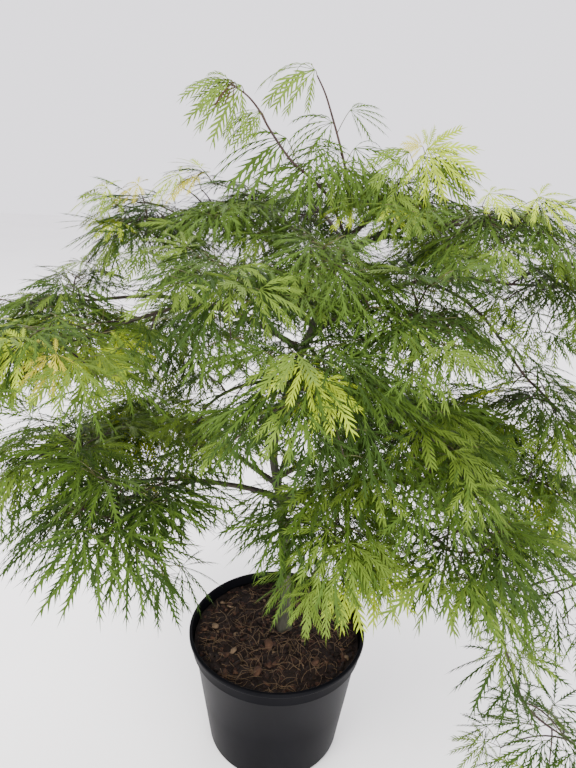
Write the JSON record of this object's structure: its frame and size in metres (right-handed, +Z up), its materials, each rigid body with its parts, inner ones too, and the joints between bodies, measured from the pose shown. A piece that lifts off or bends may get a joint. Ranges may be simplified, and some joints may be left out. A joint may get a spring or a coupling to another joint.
{
  "type": "potted weeping japanese maple",
  "caption": "Young lace-leaf weeping maple with a leaning, grafted trunk and arching layered boughs, growing in a round tapered nursery pot filled with bark compost.",
  "frame": {"origin": "centre of the pot's flat underside", "axes": "+Z up along the pot's axis to the crown; +X to the plant's right and -Y towards the viewer, as seen from its front"},
  "size_m": [0.7454, 0.5858, 0.8441],
  "materials": {
    "pot_plastic": "black satin moulded plastic",
    "soil": "dark brown bark compost, loose and rough",
    "trunk_bark": "dull grey-green bark",
    "bough_bark": "smooth brown-green young bark",
    "foliage": "matt green leaves on thin dark twigs"
  },
  "bodies": {
    "root": {"pot": "pot_plastic", "soil": "soil", "trunk": "trunk_bark", "bough_front_centre": "bough_bark", "bough_left_drop": "bough_bark", "bough_left_front": "bough_bark", "bough_left_high": "bough_bark", "bough_left_outer": "bough_bark", "bough_low_back": "bough_bark", "bough_low_front": "bough_bark", "bough_low_left_back": "bough_bark", "bough_low_left_front": "bough_bark", "bough_low_left_outer": "bough_bark", "bough_low_right_back": "bough_bark", "bough_low_right_drop": "bough_bark", "bough_low_right_front": "bough_bark", "bough_low_right_outer": "bough_bark", "bough_mid_back": "bough_bark", "bough_mid_front_right": "bough_bark", "bough_mid_left_back": "bough_bark", "bough_mid_right": "bough_bark", "bough_right_back": "bough_bark", "bough_right_drop": "bough_bark", "bough_right_hanging": "bough_bark", "bough_right_high": "bough_bark", "bough_right_outer": "bough_bark", "bough_upper_left_front": "bough_bark", "bough_upper_right_front": "bough_bark", "mass_crown_back": "foliage", "mass_crown_left": "foliage", "mass_crown_right": "foliage", "mass_front_centre": "foliage", "mass_left_drop": "foliage", "mass_left_front": "foliage", "mass_left_high": "foliage", "mass_left_outer": "foliage", "mass_low_back": "foliage", "mass_low_front": "foliage", "mass_low_left_back": "foliage", "mass_low_left_front": "foliage", "mass_low_left_outer": "foliage", "mass_low_right_back": "foliage", "mass_low_right_drop": "foliage", "mass_low_right_front": "foliage", "mass_low_right_outer": "foliage", "mass_mid_back": "foliage", "mass_mid_front_right": "foliage", "mass_mid_left_back": "foliage", "mass_mid_right": "foliage", "mass_right_back": "foliage", "mass_right_drop": "foliage", "mass_right_hanging": "foliage", "mass_right_high": "foliage", "mass_right_outer": "foliage", "mass_top": "foliage", "mass_top_left": "foliage", "mass_top_right": "foliage", "mass_upper_front": "foliage", "mass_upper_left_front": "foliage", "mass_upper_right_front": "foliage"}
  },
  "joints": []
}
